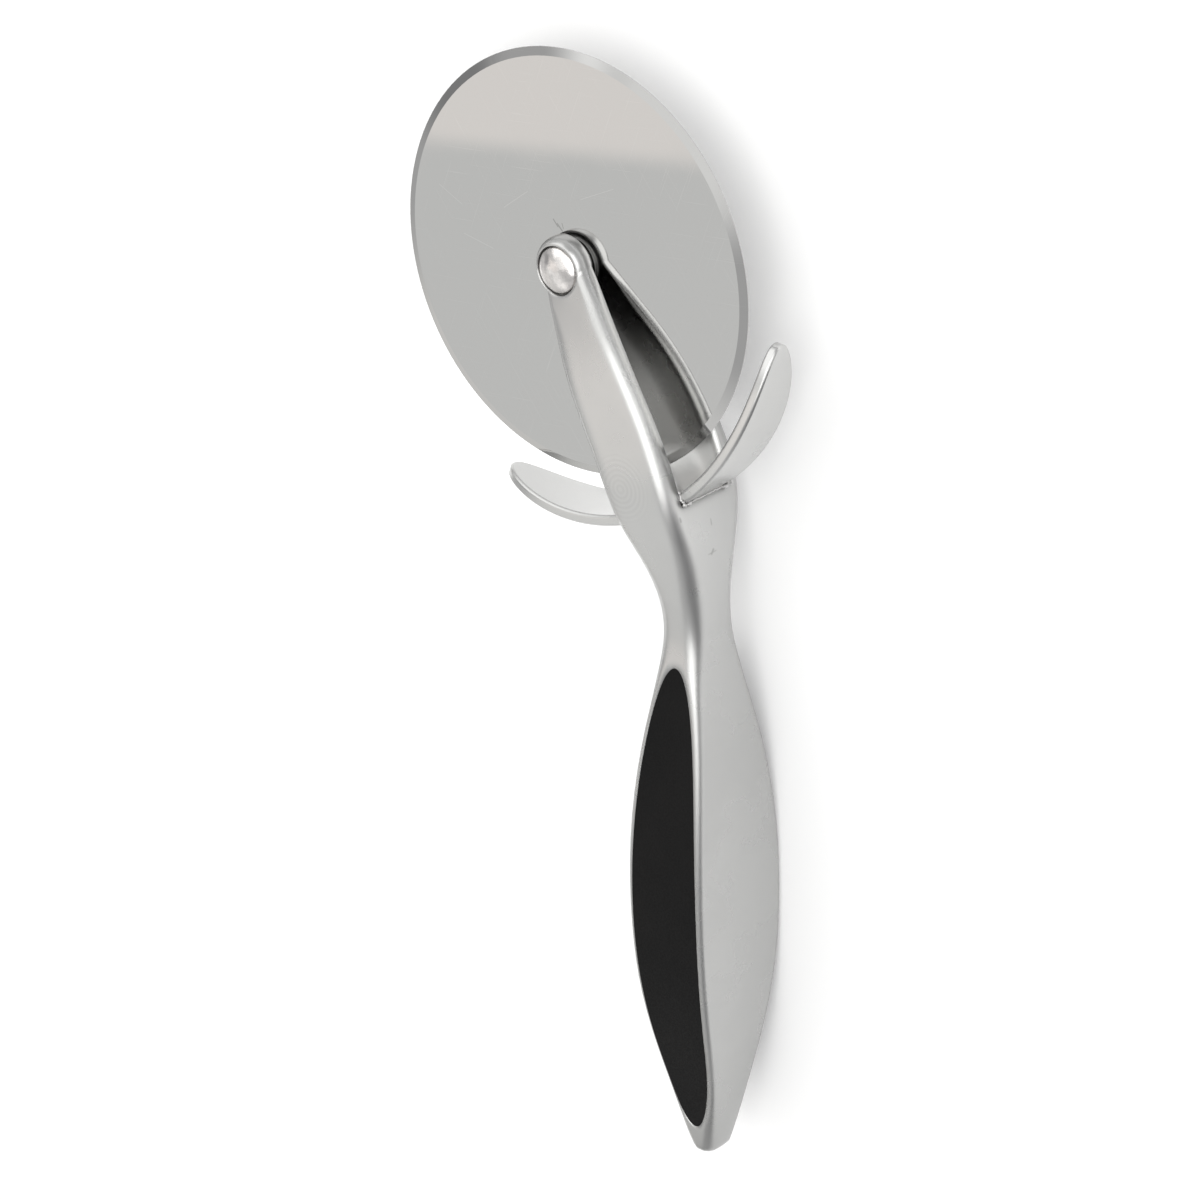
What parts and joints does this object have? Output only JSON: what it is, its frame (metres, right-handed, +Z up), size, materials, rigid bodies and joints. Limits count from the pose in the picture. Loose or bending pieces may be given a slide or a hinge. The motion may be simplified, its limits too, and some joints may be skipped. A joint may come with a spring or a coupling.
{
  "type": "pizza cutter wheel",
  "caption": "Pizza cutter with a mirror-polished steel wheel that spins on a rivet in a forked cast handle, with a curved finger guard and dark oval grip inlays.",
  "frame": {"origin": "centre of the base of the bounding box, with the cutter lying on its side", "axes": "+X along the grip towards the wheel, +Z up along the wheel's axle, +Y to the side that the wheel is offset to"},
  "size_m": [0.2138, 0.0874, 0.0243],
  "materials": {
    "casting": "satin nickel-grey cast metal",
    "inlay": "matte charcoal, finely pebbled",
    "guard": "satin, welded into the fork",
    "blade": "mirror-polished stainless steel with a ground bevel",
    "washer": "plain sheet steel",
    "rivet": "polished domed heads"
  },
  "bodies": {
    "handle": {"handle_body": "casting", "inlay_upper": "inlay", "inlay_lower": "inlay", "finger_guard": "guard", "washer_upper": "washer", "washer_lower": "washer", "rivet_barrel": "rivet", "rivet_pin": "rivet"},
    "wheel": {"cutting_wheel": "blade"}
  },
  "joints": [
    {"name": "wheel_spin", "type": "hinge", "parent": "handle", "child": "wheel", "pos_m": [0.06691, 0.00374, 0.01215], "axis": [0, 0, 1], "continuous": true}
  ]
}
